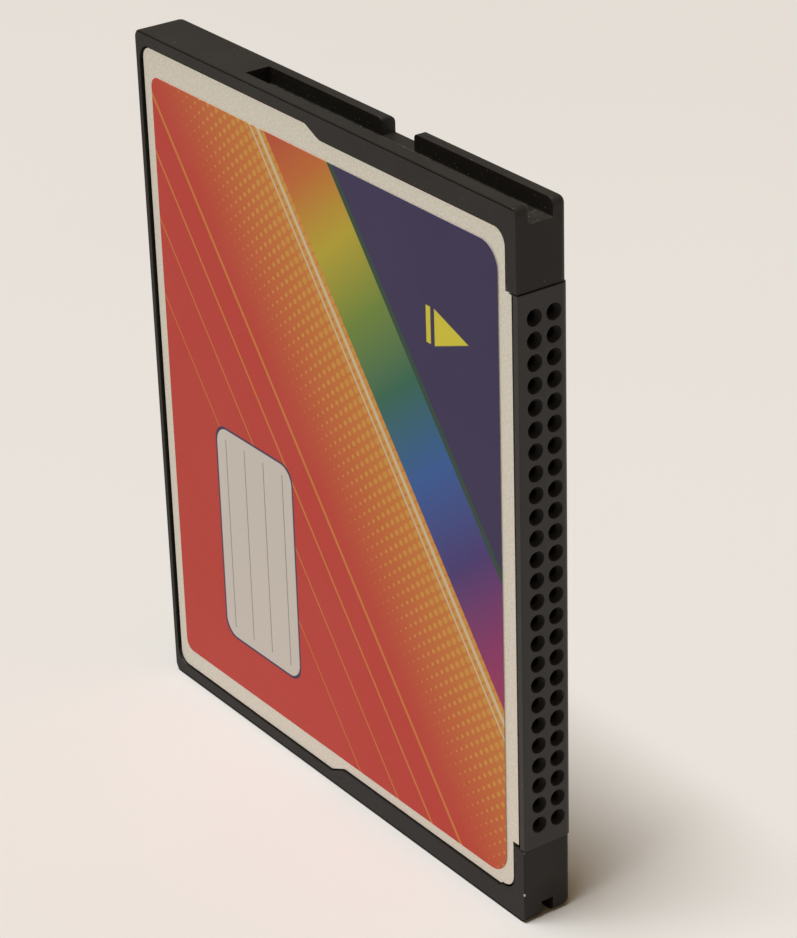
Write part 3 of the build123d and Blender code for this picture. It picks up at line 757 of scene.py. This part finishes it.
def socket_cutter(sizes):
    """Closed tool for one socket along -X: a rounded rim, a tapered mouth and a bore."""
    half_angle = sizes.mouth_angle / 2
    turn = math.pi / 2 - half_angle
    run = sizes.mouth_lip * math.tan(turn / 2)
    rim = sizes.mouth_radius + run
    profile = []
    for step in range(1, RIM_STEPS + 1):
        angle = turn * step / RIM_STEPS
        profile.append((rim - sizes.mouth_lip * math.sin(angle), sizes.mouth_lip * (1 - math.cos(angle))))
    taper = (sizes.mouth_radius - sizes.bore_radius) / math.tan(half_angle)
    profile.append((sizes.bore_radius, taper))
    profile.append((sizes.bore_radius, sizes.bore_depth + OVERRUN))

    deselect_all()
    bpy.ops.mesh.primitive_cylinder_add(
        vertices=SOCKET_SIDES, radius=rim, depth=OUTSIDE,
        location=(OUTSIDE / 2, 0, 0), rotation=(0, math.pi / 2, 0),
    )
    cutter = bpy.context.object
    bpy.ops.object.transform_apply(location=True, rotation=True, scale=True)
    edit(cutter, "DESELECT", "FACE")
    choose(cutter, "polygons", lambda face: face.normal.x < -0.9)
    radius, depth = rim, 0.0
    for next_radius, next_depth in profile:
        bpy.ops.mesh.extrude_region_move(TRANSFORM_OT_translate={"value": (depth - next_depth, 0, 0)})
        scale = next_radius / radius
        bpy.ops.transform.resize(value=(1, scale, scale), center_override=(-next_depth, 0, 0))
        radius, depth = next_radius, next_depth
    bpy.ops.object.mode_set(mode="OBJECT")
    return cutter


def socket_places(sizes, x):
    """Middle of every socket at a depth x."""
    pitch, y_rows = sizes.socket_pitch, CARD_LOW.y + sizes.rows_from_label_side
    half_span = (sizes.sockets_per_row - 1) / 2
    return [
        Vector((x, y_rows + row * pitch, CARD_MIDDLE.z + (count - half_span) * pitch))
        for row in (-0.5, 0.5) for count in range(sizes.sockets_per_row)
    ]


def connector_block(sizes, materials):
    """Connector housing with its lip, ledges, keys and rounded socket mouths.

    The materials are those of the plain faces, of the softened edges and of the sockets' insides; the darker
    colour inside the sockets is painted shade.
    """
    x_face, x_rear = HOUSING_HIGH.x, HOUSING_LOW.x
    low_z, high_z = HOUSING_LOW.z + sizes.key_height, HOUSING_HIGH.z - sizes.key_height
    housing = block("connector_block", (x_rear, CARD_LOW.y, low_z), (x_face, CARD_HIGH.y, high_z))
    for material in materials:
        housing.data.materials.append(material)
    for y, radius, segments in ((CARD_LOW.y, sizes.front_edge, 3), (CARD_HIGH.y, sizes.back_edge, 5)):
        edit(housing, "DESELECT", "EDGE")
        choose(housing, "edges", edge_along_z(housing, x_face, y))
        bpy.ops.mesh.bevel(offset=radius, segments=segments, affect="EDGES")
        bpy.ops.object.mode_set(mode="OBJECT")

    x_ledge = x_face - sizes.lip
    for y_out, inward in ((CARD_LOW.y, 1), (CARD_HIGH.y, -1)):
        y_in = y_out + inward * sizes.ledge_depth
        y_beyond = y_out - inward * sizes.ledge_depth
        low = (x_rear - 1, min(y_in, y_beyond), low_z - 1)
        high = (x_ledge, max(y_in, y_beyond), high_z + 1)
        combine(housing, block("ledge", low, high), "DIFFERENCE")
    y_key = CARD_HIGH.y - sizes.ledge_depth
    x_key = x_face - sizes.key_from_face
    key_low = (x_key - sizes.key_length / 2, y_key - sizes.key_depth, HOUSING_LOW.z)
    key_high = (x_key + sizes.key_length / 2, y_key, HOUSING_HIGH.z)
    combine(housing, block("keys", key_low, key_high), "UNION")
    soften(housing, sizes.moulded_edge)

    cutter = socket_cutter(sizes)
    for material in materials:
        cutter.data.materials.append(material)
    rim_depth = sizes.mouth_lip * (1 - math.sin(sizes.mouth_angle / 2))
    # Faces past the rim take the darker third material: painted shade inside the sockets
    for face in cutter.data.polygons:
        face.material_index = 2 if face.center.x < -rim_depth else 1
    combine(housing, repeated(cutter, socket_places(sizes, x_face)), "DIFFERENCE")
    half = sizes.chamber / 2
    chamber = block("chamber", (x_rear - x_face - 1, -half, -half), (-sizes.bore_depth, half, half))
    combine(housing, repeated(chamber, socket_places(sizes, x_face)), "DIFFERENCE")
    return housing


# Stage
def add_floor(colours):
    """Wide pale floor with a faint, slow mottle of tone."""
    deselect_all()
    bpy.ops.mesh.primitive_plane_add(size=6.0, location=(0, 0, 0))
    floor = bpy.context.object
    floor.name = "studio_floor"
    material, tree, shader = surface("floor paper", roughness=0.85, reflection=0.06)
    grained = use_group(tree, "grain", {"Grain per mm": 1.2, "Cloud per mm": 0.01})
    plain = opaque(colours.floor)
    shaded = opaque([channel * 0.97 for channel in colours.floor])
    clouded = blend_colours(tree, shades(tree, grained.outputs["Shade"], 0.0, 1.0), plain, shaded)
    tree.links.new(clouded, shader.inputs["Base Color"])
    floor.data.materials.append(material)


def add_lamps(settings):
    """A soft lamp overhead, a little towards the label side, and light from the room.

    Gloss shows the pale backdrop; what a matt surface sends on gets the even light, which keeps the shadow.
    """
    data = bpy.data.lights.new("soft lamp", "AREA")
    data.shape = "SQUARE"
    data.size = settings.lamp_size
    data.energy = settings.lamp_power
    data.color = settings.lamp_colour
    lamp = bpy.data.objects.new("soft lamp", data)
    lamp.location = settings.lamp_place
    lamp.rotation_euler = (-lamp.location).to_track_quat("-Z", "Y").to_euler()
    bpy.context.scene.collection.objects.link(lamp)
    world = bpy.data.worlds.new("room")
    bpy.context.scene.world = world
    world.use_nodes = True
    tree = world.node_tree
    light = tree.nodes["Background"]
    light.inputs["Color"].default_value = opaque(settings.room_colour)
    light.inputs["Strength"].default_value = settings.room_light
    seen = put(tree, "ShaderNodeBackground", {"Color": opaque(settings.backdrop), "Strength": 1.0})
    path = put(tree, "ShaderNodeLightPath")
    clear = calc(tree, "MAXIMUM", path.outputs["Is Camera Ray"], path.outputs["Is Glossy Ray"])
    clear = calc(tree, "MAXIMUM", clear, path.outputs["Is Transmission Ray"])
    unscattered = calc(tree, "LESS_THAN", path.outputs["Diffuse Depth"], 0.5)
    shown = calc(tree, "MULTIPLY", clear, unscattered)
    room = put(tree, "ShaderNodeMixShader", {"Fac": shown, 1: light.outputs[0], 2: seen.outputs[0]})
    tree.links.new(room.outputs[0], tree.nodes["World Output"].inputs["Surface"])


def add_camera(settings):
    """Camera at the photograph's place and angle."""
    data = bpy.data.cameras.new("camera")
    data.sensor_width = 36.0
    data.lens = settings.lens
    data.clip_start = 0.005
    data.clip_end = 20.0
    camera = bpy.data.objects.new("camera", data)
    turn, rise = settings.azimuth, settings.elevation
    back = Vector((math.sin(turn) * math.cos(rise), -math.cos(turn) * math.cos(rise), math.sin(rise)))
    right = (-back).cross(Vector((0, 0, 1))).normalized()
    up = right.cross(-back).normalized()
    cos, sin = math.cos(settings.roll), math.sin(settings.roll)
    tilted_right = cos * right - sin * up
    tilted_up = sin * right + cos * up
    axes = Matrix((tilted_right, tilted_up, back)).transposed()
    camera.matrix_world = Matrix.Translation(settings.camera_place) @ axes.to_4x4()
    bpy.context.scene.collection.objects.link(camera)
    bpy.context.scene.camera = camera


# Operators, one for each piece or group of pieces, and one for the stage
class CARD_OT_frame(bpy.types.Operator):
    """Softens the edges of the moulded frame and gives it its grained black plastic"""

    bl_idname = "card.frame"
    bl_label = "Frame"

    def execute(self, context):
        colours, sizes = context.scene.card_colours, context.scene.card_sizes
        piece = enlarged_copy("moulded_frame", "frame")
        piece.data.materials.append(moulded_plastic("frame plastic", colours.frame, marks=frame_marks))
        piece.data.materials.append(
            moulded_plastic("frame edges", colours.frame, roughness=0.42, lighten=1.15, marks=frame_marks)
        )
        soften(piece, sizes.moulded_edge)
        for z_edge, inward in ((CARD_HIGH.z, -1), (CARD_LOW.z, 1)):
            z_line = z_edge + inward * (sizes.parting_from_edge + sizes.parting_line / 2)
            half = Vector((CARD_HIGH.x, sizes.parting_line, sizes.parting_line / 2))
            middle = Vector((0, CARD_LOW.y, z_line))
            combine(piece, block("parting line", middle - half, middle + half), "DIFFERENCE")
        hand_over(piece, "frame")
        return {"FINISHED"}


class CARD_OT_connector(bpy.types.Operator):
    """Models the connector housing with round, soft-rimmed sockets and dresses the contacts in it"""

    bl_idname = "card.connector"
    bl_label = "Connector"

    def execute(self, context):
        colours, sizes = context.scene.card_colours, context.scene.card_sizes
        fine = {"grain": 12.0, "depth": 0.005, "reflection": 0.42}
        piece = connector_block(sizes, [
            moulded_plastic("connector plastic", colours.connector, roughness=0.44, **fine),
            moulded_plastic("connector edges", colours.connector, roughness=0.38, lighten=1.3, **fine),
            # Darker plastic for the sockets' insides: painted shade
            moulded_plastic("socket plastic", colours.socket, roughness=0.6, reflection=0.2),
        ])
        hand_over(piece, "connector_housing")
        smooth = {"lines": 30.0, "stretch": 1.0, "depth": 0.001}
        plating = satin_metal("contact plating", colours.contact, roughness=0.28, **smooth)
        dress(["front_row_contacts", "back_row_contacts"], plating)
        return {"FINISHED"}


class CARD_OT_covers(bpy.types.Operator):
    """Rounds the edges of the two sheet covers, gives them satin metal, and dresses the films under them"""

    bl_idname = "card.covers"
    bl_label = "Covers"

    def execute(self, context):
        colours, sizes = context.scene.card_colours, context.scene.card_sizes
        face = satin_metal("cover sheet", colours.cover, roughness=0.42)
        edge = satin_metal("cover edge", colours.cover, roughness=0.34)
        for side in ("front", "back"):
            piece = enlarged_copy(f"{side}_cover_sheet", f"{side}_cover")
            piece.data.materials.append(face)
            piece.data.materials.append(edge)
            soften(piece, sizes.sheet_edge)
            hand_over(piece, f"{side}_cover")
        bond = moulded_plastic("bonding film", colours.bond, grain=4.0, depth=0.004, roughness=0.35)
        dress(["front_bond_film", "back_bond_film"], bond)
        return {"FINISHED"}


class CARD_OT_label(bpy.types.Operator):
    """Gives the label its rounded film edge and its print"""

    bl_idname = "card.label"
    bl_label = "Label"

    def execute(self, context):
        sizes = context.scene.card_sizes
        piece = enlarged_copy("printed_label", "front_label")
        film = label_film("label print")
        piece.data.materials.append(film)
        piece.data.materials.append(film)
        soften(piece, sizes.film_edge)
        hand_over(piece, "front_label")
        return {"FINISHED"}


class CARD_OT_board(bpy.types.Operator):
    """Dresses the circuit board and everything that is soldered to it"""

    bl_idname = "card.board"
    bl_label = "Board"

    def execute(self, context):
        colours = context.scene.card_colours
        dress(["circuit_board"], solder_mask("solder mask"))
        smooth = {"lines": 40.0, "stretch": 1.0, "depth": 0.001}
        dress([
            "controller_leads", "front_flash_leads", "back_flash_leads", "regulator_leads",
            "capacitor_ends", "resistor_ends", "tantalum_ends",
        ], satin_metal("tinned leads", colours.solder, roughness=0.30, **smooth))
        dress(["crystal_lid"], satin_metal("crystal lid", colours.lid, roughness=0.25, **smooth))
        fine = {"grain": 20.0, "depth": 0.003, "scuffs": 0.1}
        dress([
            "controller_chip", "front_flash_chip", "back_flash_chip", "voltage_regulator", "chip_resistors",
        ], moulded_plastic("chip resin", colours.resin, roughness=0.6, **fine))
        clay = moulded_plastic("ceramic", colours.ceramic, roughness=0.55, **fine)
        dress(["ceramic_capacitors", "crystal_base"], clay)
        dress(["tantalum_capacitor"], moulded_plastic("tantalum resin", colours.tantalum, **fine))
        return {"FINISHED"}


class CARD_OT_studio(bpy.types.Operator):
    """Builds the pale floor, the soft lamp, the room's light and the camera"""

    bl_idname = "card.studio"
    bl_label = "Studio"

    def execute(self, context):
        settings, colours = context.scene.card_studio, context.scene.card_colours
        add_floor(colours)
        add_lamps(settings)
        add_camera(settings)
        context.scene.view_settings.view_transform = "Standard"
        return {"FINISHED"}


class CARD_PT_panel(bpy.types.Panel):
    """Lists the card's operators and settings"""

    bl_idname = "CARD_PT_panel"
    bl_label = "Memory Card"
    bl_space_type = "VIEW_3D"
    bl_region_type = "UI"
    bl_category = "Card"

    def draw(self, context):
        for operator in OPERATORS:
            self.layout.operator(operator.bl_idname)
        for settings in (context.scene.card_sizes, context.scene.card_colours, context.scene.card_studio):
            box = self.layout.box()
            for name in settings.__annotations__:
                box.prop(settings, name)


OPERATORS = (CARD_OT_frame, CARD_OT_connector, CARD_OT_covers, CARD_OT_label, CARD_OT_board, CARD_OT_studio)
CLASSES = (CardSizes, CardColours, StudioSettings, *OPERATORS, CARD_PT_panel)


def register():
    for cls in CLASSES:
        bpy.utils.register_class(cls)
    bpy.types.Scene.card_sizes = PointerProperty(type=CardSizes)
    bpy.types.Scene.card_colours = PointerProperty(type=CardColours)
    bpy.types.Scene.card_studio = PointerProperty(type=StudioSettings)


def unregister():
    del bpy.types.Scene.card_sizes, bpy.types.Scene.card_colours, bpy.types.Scene.card_studio
    for cls in reversed(CLASSES):
        bpy.utils.unregister_class(cls)


def main():
    """Runs every step in order."""
    register()
    bpy.ops.card.frame()
    bpy.ops.card.connector()
    bpy.ops.card.covers()
    bpy.ops.card.label()
    bpy.ops.card.board()
    bpy.ops.card.studio()


if __name__ == "__main__":
    main()
